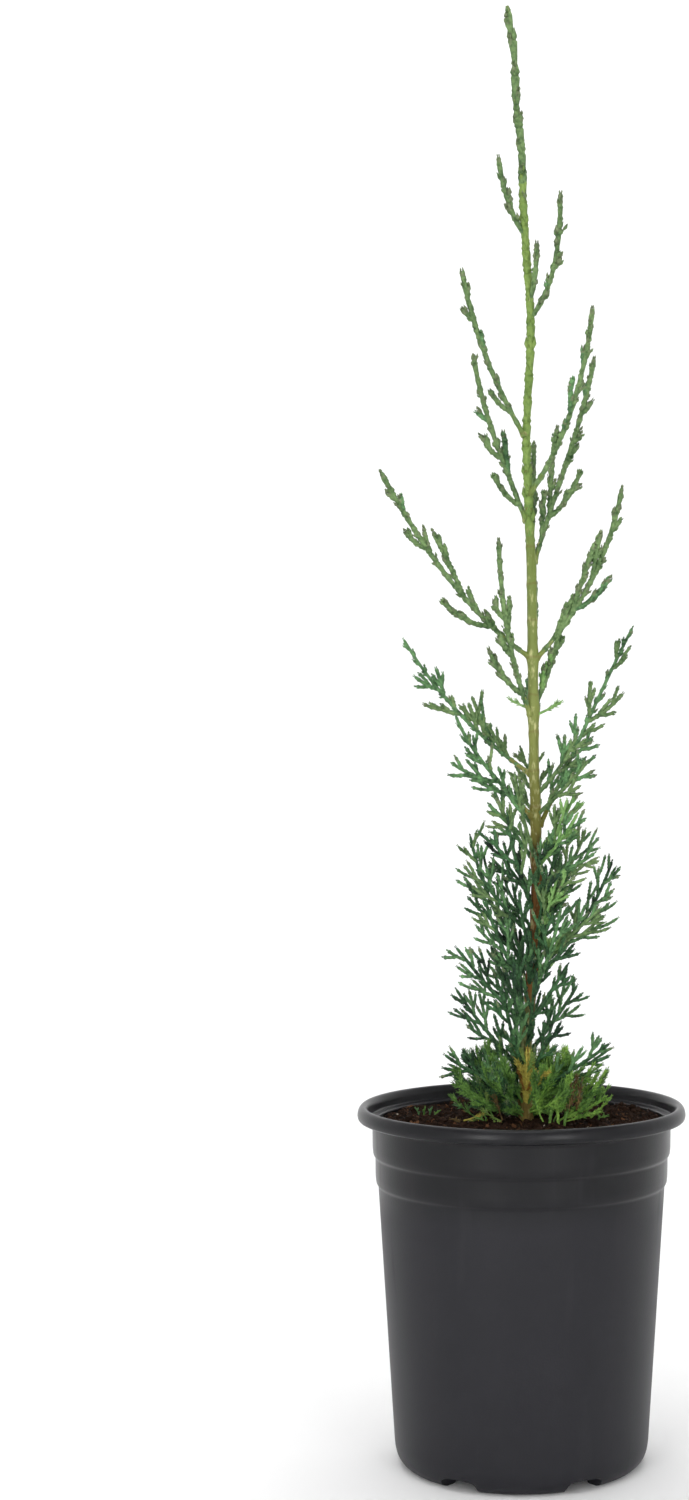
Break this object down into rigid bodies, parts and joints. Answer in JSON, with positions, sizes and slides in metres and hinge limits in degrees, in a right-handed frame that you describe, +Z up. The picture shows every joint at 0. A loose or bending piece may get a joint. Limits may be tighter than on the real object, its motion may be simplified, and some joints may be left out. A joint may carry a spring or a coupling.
{
  "type": "potted young italian cypress",
  "caption": "A slender young italian cypress with open feathery sprays, growing in peaty soil in a round black plastic nursery pot.",
  "frame": {"origin": "the middle of the pot's underside, on the surface it stands on", "axes": "+Z up along the trunk, -Y towards the front"},
  "size_m": [0.1142, 0.1142, 0.5081],
  "materials": {
    "pot": "matte moulded black plastic",
    "soil": "dark loose peat",
    "bark": "young yellow-green bark, brown at the foot",
    "leaf": "satin scale leaves"
  },
  "bodies": {
    "root": {"bough_left_1": "bark", "bough_left_2": "bark", "bough_left_3": "bark", "bough_left_4": "bark", "bough_left_5": "bark", "bough_left_6": "bark", "bough_right_1": "bark", "bough_right_2": "bark", "bough_right_3": "bark", "bough_right_5": "bark", "foliage_back_1": "leaf", "foliage_back_2": "leaf", "foliage_back_3": "leaf", "foliage_foot_1": "leaf", "foliage_foot_2": "leaf", "foliage_foot_3": "leaf", "foliage_foot_4": "leaf", "foliage_foot_5": "leaf", "foliage_foot_6": "leaf", "foliage_front_1": "leaf", "foliage_front_2": "leaf", "foliage_front_3": "leaf", "foliage_left_1": "leaf", "foliage_left_10": "leaf", "foliage_left_11": "leaf", "foliage_left_12": "leaf", "foliage_left_13": "leaf", "foliage_left_14": "leaf", "foliage_left_15": "leaf", "foliage_left_2": "leaf", "foliage_left_3": "leaf", "foliage_left_4": "leaf", "foliage_left_5": "leaf", "foliage_left_6": "leaf", "foliage_left_7": "leaf", "foliage_left_8": "leaf", "foliage_left_9": "leaf", "foliage_left_bud": "leaf", "foliage_right_1": "leaf", "foliage_right_10": "leaf", "foliage_right_11": "leaf", "foliage_right_12": "leaf", "foliage_right_13": "leaf", "foliage_right_14": "leaf", "foliage_right_15": "leaf", "foliage_right_2": "leaf", "foliage_right_3": "leaf", "foliage_right_4": "leaf", "foliage_right_5": "leaf", "foliage_right_6": "leaf", "foliage_right_7": "leaf", "foliage_right_8": "leaf", "foliage_right_9": "leaf", "foliage_right_bud": "leaf", "foliage_tip_front": "leaf", "foliage_tip_left": "leaf", "foliage_tip_right": "leaf", "pot": "pot", "soil": "soil", "trunk": "bark"}
  },
  "joints": []
}
